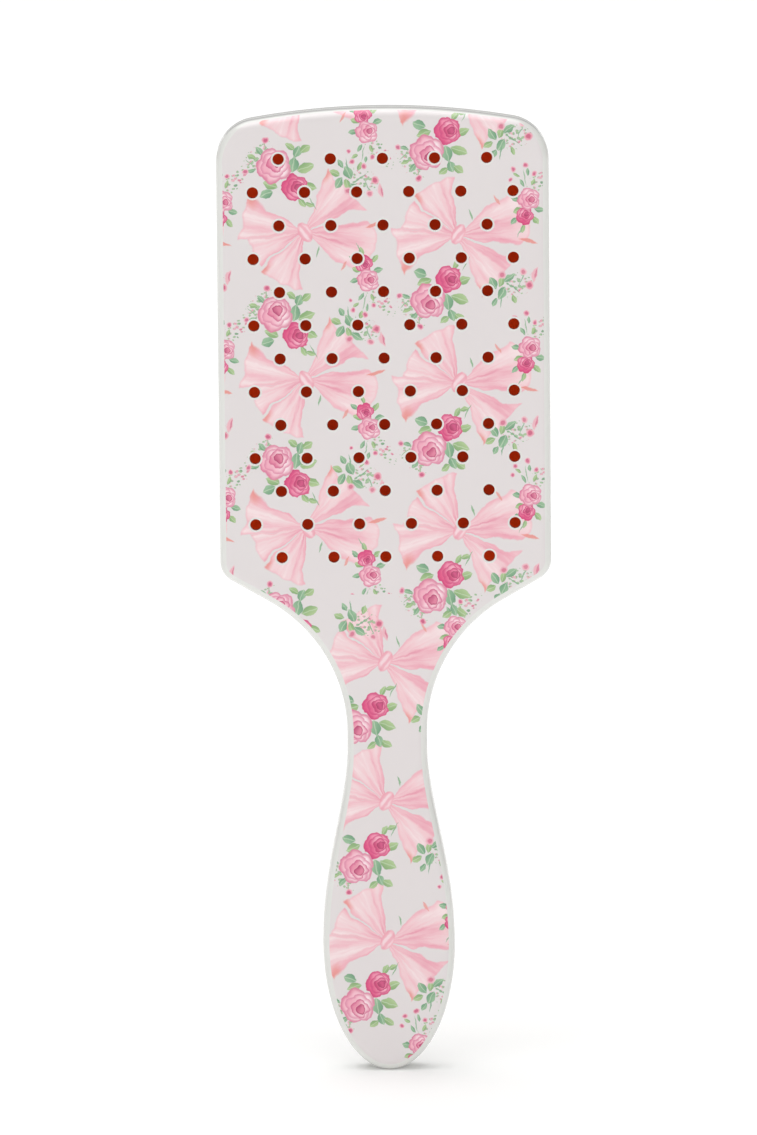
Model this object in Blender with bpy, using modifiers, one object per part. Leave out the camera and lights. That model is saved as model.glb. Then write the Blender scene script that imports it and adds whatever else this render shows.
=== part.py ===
"""Vented paddle hairbrush, standing upright on the end of its handle.

The frame's origin is level with the end of the handle.  +Z runs up the handle to the head, the
vented back faces -Y and the pins point along +Y.  The dimensions below are in millimetres.
"""

import math

import bmesh
import bpy
from mathutils import Matrix, Vector

MM = 0.001

# Outline of the body, the same for both shells
HEAD_HALF_WIDTH = 44.75
HEAD_TOP = 262.6
HEAD_TOP_ARC_R = 205.0
TOP_CORNER_R = 11.4
SHOULDER_CORNER_R = 6.0
SHOULDER_ARC_R = 41.5
SHOULDER_TURN = math.radians(60)
SHOULDER_TOP = 131.0        # above this height the rim has the head's rounding
NECK_TOP = 93.0
NECK_BOTTOM = 88.0
NECK_HALF_WIDTH = 10.8
BELLY_Z = 35.0
BELLY_HALF_WIDTH = 17.9
SWELL_POWER = 0.86          # below 1 the handle swells sooner below the neck

# Depths, counted forwards from the flat back
TOTAL_DEPTH = 38.0
BODY_DEPTH = 14.0
SEAM_DEPTH = 7.0
SEAM_GAP = 0.3
WALL = 2.4
HEAD_ROUNDING = 2.0
HANDLE_BACK_ROUNDING = 2.8
HANDLE_FRONT_ROUNDING = 5.0
ROUNDING_STEPS = 3
CLEARANCE = 0.3             # between neighbouring pieces
OVERCUT = 1.0               # how far a cutter reaches past the face it opens

# Vents through the back
VENT_RADIUS = 1.58
VENT_PITCH_X = 14.0
VENT_PITCH_Z = 9.0
VENT_ROWS = 13
VENTS_IN_ODD_ROW = 5
VENT_SIDES = 10

# Rubber pad, its window in the front shell and its clamping ring
PAD_CENTRE_Z = 195.2
PAD_HALF_WIDTH = 38.5
PAD_HALF_HEIGHT = 61.0
PAD_END_ARC_R = 198.0
PAD_CORNER_R = 9.0
PAD_THICKNESS = 1.5
PAD_CROWN_DEPTH = 19.0
PAD_ROLL_WIDTH = 5.6        # width of the rounded edge of the pad
PAD_ROLL_STEPS = 4
FLANGE_WIDTH = 2.6
FLANGE_FRONT_DEPTH = BODY_DEPTH - WALL - CLEARANCE
RETAINER_WIDTH = 2.0

# Pins, moulded in columns on thin rails behind the pad
STRIP_COUNT = 10
STRIP_PITCH = 7.0
PIN_PITCH = 9.0
PINS_ON_LONG_STRIP = 12
PIN_BASE_R = 0.8
PIN_NECK_R = 0.5
PIN_BALL_R = 0.9
PIN_SIDES = 6
PIN_HOLE_R = 1.25
RAIL_WIDTH = 2.2
RAIL_THICKNESS = 1.2
RAIL_OVERHANG = 1.6
STRIP_PIVOT_DEPTH = 18.2

# Points along each stretch of half the body outline
TIP_STEPS = 10
SWELL_STEPS = 6
SHOULDER_STEPS = 8
SHOULDER_CORNER_STEPS = 4
TOP_CORNER_STEPS = 6
TOP_ARC_STEPS = 4
PAD_CORNER_STEPS = 5

COLOURS = {
    "back_shell": (0.86, 0.80, 0.80),
    "front_shell": (0.84, 0.83, 0.80),
    "cushion": (0.62, 0.06, 0.05),
    "cushion_retainer": (0.78, 0.78, 0.76),
    "pin_strip": (0.90, 0.36, 0.42),
}
ROUGHNESS = {
    "back_shell": 0.18,
    "front_shell": 0.18,
    "cushion": 0.55,
    "cushion_retainer": 0.45,
    "pin_strip": 0.30,
}


def clear_scene():
    for obj in list(bpy.data.objects):
        bpy.data.objects.remove(obj, do_unlink=True)


def new_collection(name):
    collection = bpy.data.collections.new(name)
    bpy.context.scene.collection.children.link(collection)
    return collection


def world_y(depth):
    """World Y, in metres, of a depth counted from the flat back."""
    return (depth - TOTAL_DEPTH / 2) * MM


# ---------------------------------------------------------------- outlines

def arc(centre, radius, start, end, steps):
    """Points and outward normals along a convex arc, leaving out its last point."""
    points = []
    for k in range(steps):
        angle = start + (end - start) * k / steps
        normal = Vector((math.cos(angle), math.sin(angle)))
        points.append((Vector(centre) + radius * normal, normal))
    return points


def tip_points():
    """Right half of the rounded end of the handle, a quarter of an ellipse."""
    points = []
    for k in range(TIP_STEPS):
        angle = math.pi / 2 * (k / TIP_STEPS - 1)
        point = Vector((BELLY_HALF_WIDTH * math.cos(angle), BELLY_Z * (1 + math.sin(angle))))
        normal = Vector((math.cos(angle) / BELLY_HALF_WIDTH, math.sin(angle) / BELLY_Z))
        points.append((point, normal.normalized()))
    return points


def swell_half_width(z):
    """Half the handle's width between its belly and its neck."""
    share = max(0.0, (NECK_BOTTOM - z) / (NECK_BOTTOM - BELLY_Z))
    ease = (1 - math.cos(math.pi * share ** SWELL_POWER)) / 2
    return NECK_HALF_WIDTH + (BELLY_HALF_WIDTH - NECK_HALF_WIDTH) * ease


def swell_points():
    """Right side of the handle from its belly up to its neck."""
    points = []
    step = 0.5
    for k in range(SWELL_STEPS):
        z = BELLY_Z + (NECK_BOTTOM - BELLY_Z) * k / SWELL_STEPS
        slope = (swell_half_width(z + step) - swell_half_width(z - step)) / (2 * step)
        normal = Vector((1.0, -slope)) if k else Vector((1.0, 0.0))
        points.append((Vector((swell_half_width(z), z)), normal.normalized()))
    return points


def shoulder_points():
    """Hollow curve from the neck out to the head, then the rounded lower corner."""
    centre = Vector((NECK_HALF_WIDTH + SHOULDER_ARC_R, NECK_TOP))
    points = [(Vector((NECK_HALF_WIDTH, NECK_BOTTOM)), Vector((1.0, 0.0)))]
    for k in range(SHOULDER_STEPS + 1):
        angle = SHOULDER_TURN * k / SHOULDER_STEPS
        normal = Vector((math.cos(angle), -math.sin(angle)))
        points.append((centre - SHOULDER_ARC_R * normal, normal))
    line_start, line_normal = points[-1]
    along = Vector((math.sin(SHOULDER_TURN), math.cos(SHOULDER_TURN)))
    centre_x = HEAD_HALF_WIDTH - SHOULDER_CORNER_R
    inner_start = line_start - SHOULDER_CORNER_R * line_normal
    corner = inner_start + along * (centre_x - inner_start.x) / along.x
    points += arc(corner, SHOULDER_CORNER_R, -SHOULDER_TURN, 0.0, SHOULDER_CORNER_STEPS)
    points.append((Vector((HEAD_HALF_WIDTH, corner.y)), Vector((1.0, 0.0))))
    return points


def top_points():
    """Rounded upper corner and the slightly arched top edge, up to the centre line."""
    arc_centre = Vector((0.0, HEAD_TOP - HEAD_TOP_ARC_R))
    corner_x = HEAD_HALF_WIDTH - TOP_CORNER_R
    corner_rise = math.sqrt((HEAD_TOP_ARC_R - TOP_CORNER_R) ** 2 - corner_x ** 2)
    corner = arc_centre + Vector((corner_x, corner_rise))
    blend = math.atan2(corner_rise, corner_x)
    points = arc(corner, TOP_CORNER_R, 0.0, blend, TOP_CORNER_STEPS)
    points += arc(arc_centre, HEAD_TOP_ARC_R, blend, math.pi / 2, TOP_ARC_STEPS)
    points.append((Vector((0.0, HEAD_TOP)), Vector((0.0, 1.0))))
    return points


def mirrored(half):
    """A closed loop from a right half that starts and ends on the centre line."""
    left = [(Vector((-p.x, p.y)), Vector((-n.x, n.y))) for p, n in half[1:-1]]
    return half + left[::-1]


def body_loop(inset):
    """The body's outline moved inwards by a distance, as (x, z) points."""
    half = tip_points() + swell_points() + shoulder_points() + top_points()
    return [point - inset * normal for point, normal in mirrored(half)]


def pad_loop(offset):
    """The pad window's outline moved outwards by a distance, as (x, z) points."""
    corner_x = PAD_HALF_WIDTH - PAD_CORNER_R
    corner_rise = math.sqrt((PAD_END_ARC_R - PAD_CORNER_R) ** 2 - corner_x ** 2)
    arc_centre = Vector((0.0, PAD_HALF_HEIGHT - PAD_END_ARC_R))
    corner = arc_centre + Vector((corner_x, corner_rise))
    blend = math.atan2(corner_rise, corner_x)
    upper = arc(corner, PAD_CORNER_R, 0.0, blend, PAD_CORNER_STEPS)
    upper += arc(arc_centre, PAD_END_ARC_R, blend, math.pi / 2, TOP_ARC_STEPS)
    upper.append((Vector((0.0, PAD_HALF_HEIGHT)), Vector((0.0, 1.0))))
    lower = [(Vector((p.x, -p.y)), Vector((n.x, -n.y))) for p, n in upper]
    loop = mirrored(lower[::-1] + upper)
    middle = Vector((0.0, PAD_CENTRE_Z))
    return [middle + point + offset * normal for point, normal in loop]


# ---------------------------------------------------------------- solids

def plate(name, loops, low, high, collection):
    """A flat plate between two depths, bounded by the first loop and pierced by the others."""
    curve = bpy.data.curves.new(name, "CURVE")
    curve.dimensions = "2D"
    curve.fill_mode = "BOTH"
    curve.extrude = (high - low) / 2 * MM
    for loop in loops:
        spline = curve.splines.new("POLY")
        spline.points.add(len(loop) - 1)
        spline.use_cyclic_u = True
        for point, place in zip(spline.points, loop):
            point.co = (place.x * MM, place.y * MM, 0.0, 1.0)
    outline = bpy.data.objects.new(name + "_outline", curve)
    outline.rotation_euler = (math.pi / 2, 0.0, 0.0)
    outline.location = (0.0, world_y((low + high) / 2), 0.0)
    collection.objects.link(outline)
    bpy.context.view_layer.update()
    evaluated = outline.evaluated_get(bpy.context.evaluated_depsgraph_get())
    mesh = bpy.data.meshes.new_from_object(evaluated)
    mesh.name = name
    solid = bpy.data.objects.new(name, mesh)
    solid.matrix_world = outline.matrix_world.copy()
    collection.objects.link(solid)
    bpy.data.objects.remove(outline, do_unlink=True)
    weld_caps(mesh)
    return solid


def weld_caps(mesh):
    """Join the end faces of an extruded outline to its sides and merge their triangles."""
    bm = bmesh.new()
    bm.from_mesh(mesh)
    bmesh.ops.remove_doubles(bm, verts=bm.verts, dist=0.01 * MM)
    flat = [edge for edge in bm.edges
            if len(edge.link_faces) == 2 and edge.calc_face_angle() < math.radians(0.5)]
    bmesh.ops.dissolve_edges(bm, edges=flat, use_verts=False)
    bmesh.ops.recalc_face_normals(bm, faces=bm.faces)
    bm.to_mesh(mesh)
    bm.free()


def handle_share(z):
    """0 on the head, 1 on the handle, with a smooth change along the shoulders."""
    share = min(1.0, max(0.0, (SHOULDER_TOP - z) / (SHOULDER_TOP - NECK_TOP)))
    return share * share * (3 - 2 * share)


def round_edge(solid, facing, head_rounding, handle_rounding):
    """Round the rim of one flat side, which faces -Y when facing is -1 and +Y when it is 1."""
    mesh = solid.data
    bm = bmesh.new()
    bm.from_mesh(mesh)
    weights = bm.edges.layers.float.new("bevel_weight_edge")
    turn = solid.matrix_world.to_3x3()
    for edge in bm.edges:
        on_rim = sum((turn @ face.normal).y * facing > 0.9 for face in edge.link_faces) == 1
        if on_rim:
            z = (solid.matrix_world @ edge.verts[0].co).z / MM
            blend = handle_share(z)
            rounding = head_rounding + (handle_rounding - head_rounding) * blend
            edge[weights] = rounding / handle_rounding
    bm.to_mesh(mesh)
    bm.free()
    bevel = solid.modifiers.new("rounded_rim", "BEVEL")
    bevel.limit_method = "WEIGHT"
    bevel.width = handle_rounding * MM
    bevel.segments = ROUNDING_STEPS
    bevel.use_clamp_overlap = False


def cut(solid, cutter):
    boolean = solid.modifiers.new(cutter.name, "BOOLEAN")
    boolean.operation = "DIFFERENCE"
    boolean.solver = "EXACT"
    boolean.object = cutter
    cutter.hide_render = True
    cutter.display_type = "WIRE"


def rods(name, places, radius, low, high, sides, collection):
    """One cutter holding a rod along Y at every (x, z) place."""
    bm = bmesh.new()
    for x, z in places:
        turn = Matrix.Rotation(math.pi / 2, 4, "X")
        spot = Matrix.Translation((x * MM, world_y((low + high) / 2), z * MM))
        bmesh.ops.create_cone(bm, cap_ends=True, segments=sides, radius1=radius * MM,
                              radius2=radius * MM, depth=(high - low) * MM, matrix=spot @ turn)
    mesh = bpy.data.meshes.new(name)
    bm.to_mesh(mesh)
    bm.free()
    cutter = bpy.data.objects.new(name, mesh)
    collection.objects.link(cutter)
    return cutter


def vent_places():
    """Centres of the vents: rows of five and six in turn, centred on the head."""
    places = []
    for row in range(VENT_ROWS):
        count = VENTS_IN_ODD_ROW + row % 2
        z = PAD_CENTRE_Z + (row - (VENT_ROWS - 1) / 2) * VENT_PITCH_Z
        for k in range(count):
            places.append(((k - (count - 1) / 2) * VENT_PITCH_X, z))
    return places


def strip_x(index):
    return (index - (STRIP_COUNT - 1) / 2) * STRIP_PITCH


def pin_heights(index):
    """Heights of a strip's pins above the pad's centre; every other strip has one fewer."""
    count = PINS_ON_LONG_STRIP - index % 2
    return [(k - (count - 1) / 2) * PIN_PITCH for k in range(count)]


def back_shell(parts, cutters):
    shell = plate("back_shell", [body_loop(0.0)], 0.0, SEAM_DEPTH, parts)
    round_edge(shell, -1, HEAD_ROUNDING, HANDLE_BACK_ROUNDING)
    cut(shell, plate("back_hollow", [body_loop(WALL)], WALL, SEAM_DEPTH + OVERCUT, cutters))
    cut(shell, rods("vent_cutters", vent_places(), VENT_RADIUS, -OVERCUT, WALL + OVERCUT,
                    VENT_SIDES, cutters))
    return shell


def front_shell(parts, cutters):
    start = SEAM_DEPTH + SEAM_GAP
    shell = plate("front_shell", [body_loop(0.0)], start, BODY_DEPTH, parts)
    round_edge(shell, 1, HEAD_ROUNDING, HANDLE_FRONT_ROUNDING)
    cut(shell, plate("front_hollow", [body_loop(WALL)], start - OVERCUT, BODY_DEPTH - WALL,
                     cutters))
    cut(shell, plate("pad_window", [pad_loop(0.0)], start, BODY_DEPTH + OVERCUT, cutters))
    return shell


def retainer(parts):
    """Ring between the back shell's inner face and the back of the pad's rim."""
    outer = pad_loop(FLANGE_WIDTH)
    inner = pad_loop(FLANGE_WIDTH - RETAINER_WIDTH)
    high = FLANGE_FRONT_DEPTH - PAD_THICKNESS - CLEARANCE
    return plate("cushion_retainer", [outer, inner], WALL + CLEARANCE, high, parts)


def pad_rings():
    """(offset, depth) of the rings from the pad's underside, round its rim, to its crown."""
    side = -CLEARANCE
    roll = []
    for k in range(PAD_ROLL_STEPS + 1):
        angle = math.pi / 2 * k / PAD_ROLL_STEPS
        offset = side - PAD_ROLL_WIDTH * (1 - math.cos(angle))
        roll.append((offset, angle))
    rise = PAD_CROWN_DEPTH - BODY_DEPTH
    outside = [(offset, BODY_DEPTH + rise * math.sin(angle)) for offset, angle in roll]
    inside = []
    for offset, angle in roll:
        inset = PAD_THICKNESS * math.cos(angle)
        inside.append((offset - inset, BODY_DEPTH + (rise - PAD_THICKNESS) * math.sin(angle)))
    rim_back = FLANGE_FRONT_DEPTH - PAD_THICKNESS
    rim = [
        (side - PAD_THICKNESS, rim_back),
        (FLANGE_WIDTH, rim_back),
        (FLANGE_WIDTH, FLANGE_FRONT_DEPTH),
        (side, FLANGE_FRONT_DEPTH),
    ]
    return inside[::-1] + rim + outside


def cushion(parts, cutters):
    """Rubber pad: a pillow-shaped skin with a rim behind the window and a hole for every pin."""
    bm = bmesh.new()
    previous = None
    for offset, depth in pad_rings():
        ring = [bm.verts.new((p.x * MM, world_y(depth), (p.y - PAD_CENTRE_Z) * MM))
                for p in pad_loop(offset)]
        if previous is None:
            bm.faces.new(ring)
        else:
            for k in range(len(ring)):
                after = (k + 1) % len(ring)
                bm.faces.new((previous[k], previous[after], ring[after], ring[k]))
        previous = ring
    bm.faces.new(previous)
    bmesh.ops.recalc_face_normals(bm, faces=bm.faces)
    mesh = bpy.data.meshes.new("cushion")
    bm.to_mesh(mesh)
    bm.free()
    pad = bpy.data.objects.new("cushion", mesh)
    pad.location = (0.0, 0.0, PAD_CENTRE_Z * MM)
    parts.objects.link(pad)
    places = [(strip_x(index), PAD_CENTRE_Z + height)
              for index in range(STRIP_COUNT) for height in pin_heights(index)]
    low = PAD_CROWN_DEPTH - PAD_THICKNESS - OVERCUT
    cut(pad, rods("pin_hole_cutters", places, PIN_HOLE_R, low, PAD_CROWN_DEPTH + OVERCUT,
                  PIN_SIDES, cutters))
    return pad


def pin_body(bm, height):
    """One ball-tipped pin turned about Y, standing at a height above the strip's pivot."""
    rail_front = PAD_CROWN_DEPTH - PAD_THICKNESS - CLEARANCE
    root = rail_front - RAIL_THICKNESS / 2
    tip = TOTAL_DEPTH
    profile = [
        (0.0, root),
        (PIN_BASE_R, root),
        (PIN_NECK_R, tip - 2 * PIN_BALL_R),
        (PIN_BALL_R, tip - PIN_BALL_R),
        (0.0, tip),
    ]
    verts = [bm.verts.new((radius * MM, (depth - STRIP_PIVOT_DEPTH) * MM, height * MM))
             for radius, depth in profile]
    edges = [bm.edges.new(pair) for pair in zip(verts, verts[1:])]
    bmesh.ops.spin(bm, geom=verts + edges, cent=(0.0, 0.0, height * MM), axis=(0.0, 1.0, 0.0),
                   angle=2 * math.pi, steps=PIN_SIDES, use_merge=True)


def mesh_object(name, bm, collection):
    bmesh.ops.remove_doubles(bm, verts=bm.verts, dist=0.01 * MM)
    bmesh.ops.recalc_face_normals(bm, faces=bm.faces)
    mesh = bpy.data.meshes.new(name)
    bm.to_mesh(mesh)
    bm.free()
    obj = bpy.data.objects.new(name, mesh)
    collection.objects.link(obj)
    return obj


def strip_mesh(index, cutters):
    """The mesh of a long (even index) or short (odd index) strip: pins united with their rail."""
    heights = pin_heights(index)
    pins = bmesh.new()
    for height in heights:
        pin_body(pins, height)
    comb = mesh_object("comb_" + str(index), pins, cutters)
    rail = bmesh.new()
    middle = PAD_CROWN_DEPTH - PAD_THICKNESS - CLEARANCE - RAIL_THICKNESS / 2 - STRIP_PIVOT_DEPTH
    length = heights[-1] - heights[0] + 2 * RAIL_OVERHANG
    size = Matrix.Diagonal((RAIL_WIDTH * MM, RAIL_THICKNESS * MM, length * MM, 1.0))
    bmesh.ops.create_cube(rail, size=1.0, matrix=Matrix.Translation((0.0, middle * MM, 0.0)) @ size)
    bar = mesh_object("rail_" + str(index), rail, cutters)
    union = bar.modifiers.new("pins", "BOOLEAN")
    union.operation = "UNION"
    union.solver = "EXACT"
    union.object = comb
    bpy.context.view_layer.update()
    evaluated = bar.evaluated_get(bpy.context.evaluated_depsgraph_get())
    mesh = bpy.data.meshes.new_from_object(evaluated)
    mesh.name = "long_strip" if index % 2 == 0 else "short_strip"
    bpy.data.objects.remove(bar, do_unlink=True)
    bpy.data.objects.remove(comb, do_unlink=True)
    return mesh


def pin_strips(parts, cutters):
    """Ten strips side by side, each with its origin on its rocking axis."""
    meshes = [strip_mesh(0, cutters), strip_mesh(1, cutters)]
    strips = []
    for index in range(STRIP_COUNT):
        strip = bpy.data.objects.new("pin_strip_%02d" % (index + 1), meshes[index % 2])
        strip.location = (strip_x(index) * MM, world_y(STRIP_PIVOT_DEPTH), PAD_CENTRE_Z * MM)
        parts.objects.link(strip)
        strips.append(strip)
    return strips


def give_material(obj, kind):
    material = bpy.data.materials.new(obj.name)
    material.use_nodes = True
    shader = material.node_tree.nodes["Principled BSDF"]
    shader.inputs["Base Color"].default_value = (*COLOURS[kind], 1.0)
    shader.inputs["Roughness"].default_value = ROUGHNESS[kind]
    shader.inputs["Metallic"].default_value = 0.0
    material.diffuse_color = (*COLOURS[kind], 1.0)
    if not obj.data.materials:
        obj.data.materials.append(material)
    slot = obj.material_slots[0]
    slot.link = "OBJECT"
    slot.material = material


def build():
    clear_scene()
    parts = new_collection("vanity_hairbrush")
    cutters = new_collection("cutters")
    give_material(back_shell(parts, cutters), "back_shell")
    give_material(front_shell(parts, cutters), "front_shell")
    give_material(retainer(parts), "cushion_retainer")
    give_material(cushion(parts, cutters), "cushion")
    for strip in pin_strips(parts, cutters):
        give_material(strip, "pin_strip")


build()
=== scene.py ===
"""Looks of the vented paddle hairbrush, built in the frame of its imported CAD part.

The brush stands on the end of its handle: the printed, vented back faces -Y and the pins point
along +Y.  Overall sizes come from the CAD part's own boxes.  The lengths below are in millimetres
of the CAD part, and the factor MM carries them to the scene.
"""

import math

import bmesh
import bpy
import numpy as np
from mathutils import Matrix, Vector
from mathutils.geometry import delaunay_2d_cdt


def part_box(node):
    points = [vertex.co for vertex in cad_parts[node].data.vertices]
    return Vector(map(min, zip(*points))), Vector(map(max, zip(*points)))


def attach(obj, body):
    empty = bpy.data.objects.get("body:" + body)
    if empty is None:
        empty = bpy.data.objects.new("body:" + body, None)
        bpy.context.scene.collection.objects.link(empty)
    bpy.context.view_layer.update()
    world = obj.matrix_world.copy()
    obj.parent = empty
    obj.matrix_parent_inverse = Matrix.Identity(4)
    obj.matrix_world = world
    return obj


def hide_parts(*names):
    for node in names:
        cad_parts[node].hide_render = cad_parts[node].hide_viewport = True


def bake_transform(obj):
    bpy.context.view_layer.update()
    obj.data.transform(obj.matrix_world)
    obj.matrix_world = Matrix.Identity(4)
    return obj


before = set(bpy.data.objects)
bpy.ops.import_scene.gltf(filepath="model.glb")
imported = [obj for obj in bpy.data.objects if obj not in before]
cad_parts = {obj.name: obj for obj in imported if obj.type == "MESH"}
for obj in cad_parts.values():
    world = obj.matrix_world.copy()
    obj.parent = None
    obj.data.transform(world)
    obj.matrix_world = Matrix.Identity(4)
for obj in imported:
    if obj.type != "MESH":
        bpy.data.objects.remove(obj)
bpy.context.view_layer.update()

SHELL_LOW, SHELL_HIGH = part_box("back_shell")
PAD_LOW, PAD_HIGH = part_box("cushion")
STRIPS = sorted(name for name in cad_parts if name.startswith("pin_strip"))
NOMINAL_LENGTH = 262.6
MM = (SHELL_HIGH.z - SHELL_LOW.z) / NOMINAL_LENGTH
BACK_Y = SHELL_LOW.y

# Outline of the body
HEAD_HALF_WIDTH = (SHELL_HIGH.x - SHELL_LOW.x) / 2 / MM
HEAD_TOP = NOMINAL_LENGTH
HEAD_TOP_ARC_R = 205.0
TOP_CORNER_R = 11.4
SHOULDER_CORNER_R = 6.0
SHOULDER_ARC_R = 41.5
SHOULDER_TURN = math.radians(60)
SHOULDER_TOP = 131.0
NECK_TOP = 93.0
NECK_BOTTOM = 88.0
NECK_HALF_WIDTH = 10.8
BELLY_Z = 35.0
BELLY_HALF_WIDTH = 17.9
SWELL_POWER = 0.86

# Depths from the flat back
BODY_DEPTH = 14.0
SEAM_DEPTH = 7.0
SEAM_GAP = 0.3
WALL = 2.4
TONGUE_DEPTH = 8.55
TONGUE_INSET = 1.2
GROOVE_DEPTH = TONGUE_DEPTH + 0.2
GROOVE_INSET = 1.05
FRONT_WALL = 2.6
HEAD_ROUNDING = 2.6
HANDLE_BACK_ROUNDING = 2.8
HANDLE_FRONT_WIDTH = 7.0
HANDLE_FRONT_DROP = 5.0
WINDOW_LIP = 0.7
PRINT_MARGIN = 1.7
PRINT_TOP_GAIN = 1.3

# Vents
VENT_R = 1.5
VENT_PITCH_X = 14.0
VENT_PITCH_Z = 9.0
VENT_ROWS = 13
VENT_POINTS = 32
# How far the vent's mouth widens, and at what depth, from the print's edge inwards
VENT_MOUTH = [(0.62, 0.0), (0.40, 0.0), (0.22, 0.0), (0.14, 0.02), (0.06, 0.08), (0.02, 0.16),
              (0.0, 0.28), (0.0, WALL)]

# Pad and pins
FLANGE_WIDTH = 2.6
PAD_HALF_WIDTH = (PAD_HIGH.x - PAD_LOW.x) / 2 / MM - FLANGE_WIDTH
PAD_HALF_HEIGHT = (PAD_HIGH.z - PAD_LOW.z) / 2 / MM - FLANGE_WIDTH
PAD_CENTRE_Z = (PAD_LOW.z + PAD_HIGH.z) / 2 / MM
PAD_END_ARC_R = 198.0
PAD_CORNER_R = 9.0
PAD_THICKNESS = 1.5
PAD_CROWN_DEPTH = 19.0
PAD_ROLL_WIDTH = 4.4
PAD_DOME = 0.7
PAD_GAP = 0.3
RIM_BACK_DEPTH = 9.8
RIM_FRONT_DEPTH = 11.3
PIN_HOLE_R = 1.12
PIN_TIP_DEPTH = 38.0
PIN_BALL_R = 0.9
PIN_PITCH = 9.0
PIN_POINTS = 16
RAIL_WIDTH = 2.2
RAIL_BACK_DEPTH = 16.0
RAIL_FRONT_DEPTH = 17.2
RAIL_OVERHANG = 1.6

# Mesh making: the pad's grid of points, counted out from its centre, and its collars
PAD_GRID = 2.3
PAD_GRID_COLUMNS = 13
PAD_GRID_ROWS = 23
COLLAR_POINTS = 20
COLLAR_CLEARANCE = 2.6
WELD_DISTANCE = 0.004
FILL_TOLERANCE = 1e-5

# Repeat of the print, in millimetres on the flat back: x across, y up the handle
COLUMN_PITCH = 41.2
RIGHT_COLUMN_X = 19.8
HANDLE_COLUMN_X = -0.8
HEAD_REPEAT = 40.1
RIGHT_ROW_Y = 228.3
LEFT_ROW_RISE = 1.4
HANDLE_REPEAT = 38.3
HANDLE_ROW_Y = 112.4
# The ribbon's marks reach far to the bow's right, so their repeat is centred off the bow
RIBBON_MARKS_X = 3.0

# Plastic inside and outside the print
PAPER_DEEP = "ddd6d6"
PAPER_LIGHT = "e0dada"
WHITE_DEEP = "dededa"
WHITE_LIGHT = "e2e2de"

# Studio: distances in metres, angles in degrees and the camera's aim in millimetres
FLOOR_HALF_SIZE = 9.0
FLOOR_SQUARES = 24
FLOOR_GLOW = 0.08
OVERHEAD_LIGHT = 1.75
OVERHEAD_HEADING = (0.12, -0.18, -1.0)
OVERHEAD_SPREAD = 60.0
KEY_LIGHT = 1.15
KEY_HEADING = (0.1, 1.0, -0.5)
KEY_SPREAD = 90.0
WORLD_LIGHT = 0.34
SOFTBOX_HEADING = (0.0, -0.34, 0.94)
SOFTBOX_EDGE = (0.82, 0.97)
WALL_LIGHT = 0.4
SOFTBOX_LIGHT = 2.0
CAMERA_LENS = 300.0
CAMERA_DISTANCE = 2.555
CAMERA_ELEVATION = 8.0
CAMERA_AIM_X = -2.0
CAMERA_AIM_Z = 138.3
CAMERA_ROLL = -0.5


# ---------------------------------------- outlines

def smooth_share(value, low, high):
    """0 below low, 1 above high and an even curve between."""
    share = np.clip((value - low) / (high - low), 0.0, 1.0)
    return share * share * (3 - 2 * share)


def arc(centre, radius, start, end, steps):
    """Points and outward normals along a convex arc, leaving out its last point."""
    angle = np.linspace(start, end, steps, endpoint=False)
    normal = np.stack([np.cos(angle), np.sin(angle)], 1)
    return np.array(centre) + radius * normal, normal


def handle_half():
    """Right side of the handle: its elliptical end, its swell and the start of its neck."""
    angle = np.linspace(-math.pi / 2, 0.0, 44, endpoint=False)
    end = np.stack([BELLY_HALF_WIDTH * np.cos(angle), BELLY_Z * (1 + np.sin(angle))], 1)
    end_normal = np.stack([np.cos(angle) / BELLY_HALF_WIDTH, np.sin(angle) / BELLY_Z], 1)
    z = np.linspace(BELLY_Z, NECK_BOTTOM, 44, endpoint=False)

    def half_width(height):
        share = np.clip((NECK_BOTTOM - height) / (NECK_BOTTOM - BELLY_Z), 0.0, 1.0)
        ease = (1 - np.cos(math.pi * share ** SWELL_POWER)) / 2
        return NECK_HALF_WIDTH + (BELLY_HALF_WIDTH - NECK_HALF_WIDTH) * ease

    step = 0.2
    slope = (half_width(z + step) - half_width(z - step)) / (2 * step)
    swell = np.stack([half_width(z), z], 1)
    swell_normal = np.stack([np.ones_like(z), -slope], 1)
    return [(end, end_normal), (swell, swell_normal)]


def shoulder_half():
    """Hollow curve from the neck out to the head, then the rounded lower corner."""
    angle = np.linspace(0.0, SHOULDER_TURN, 30)
    normal = np.stack([np.cos(angle), -np.sin(angle)], 1)
    hollow = np.array([NECK_HALF_WIDTH + SHOULDER_ARC_R, NECK_TOP]) - SHOULDER_ARC_R * normal
    along = np.array([math.sin(SHOULDER_TURN), math.cos(SHOULDER_TURN)])
    start = hollow[-1] - SHOULDER_CORNER_R * normal[-1]
    centre = start + along * (HEAD_HALF_WIDTH - SHOULDER_CORNER_R - start[0]) / along[0]
    return [(hollow, normal), arc(centre, SHOULDER_CORNER_R, -SHOULDER_TURN, 0.0, 16)]


def capped_half(half_width, top, corner_r, arc_r, corner_steps, arc_steps):
    """Right half of an upright's rounded corner and its gently arched end."""
    corner_x = half_width - corner_r
    rise = math.sqrt((arc_r - corner_r) ** 2 - corner_x ** 2)
    base = top - arc_r
    blend = math.atan2(rise, corner_x)
    corner = arc((corner_x, base + rise), corner_r, 0.0, blend, corner_steps)
    crown = arc((0.0, base), arc_r, blend, math.pi / 2, arc_steps)
    apex = (np.array([[0.0, top]]), np.array([[0.0, 1.0]]))
    return [corner, crown, apex]


def closed(pieces):
    """One closed loop of (points, unit normals) from the pieces of its right half."""
    points = np.concatenate([piece[0] for piece in pieces])
    normals = np.concatenate([piece[1] for piece in pieces])
    normals = normals / np.linalg.norm(normals, axis=1, keepdims=True)
    mirror = np.array([-1.0, 1.0])
    points = np.concatenate([points, points[-2:0:-1] * mirror])
    normals = np.concatenate([normals, normals[-2:0:-1] * mirror])
    return points, normals


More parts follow.
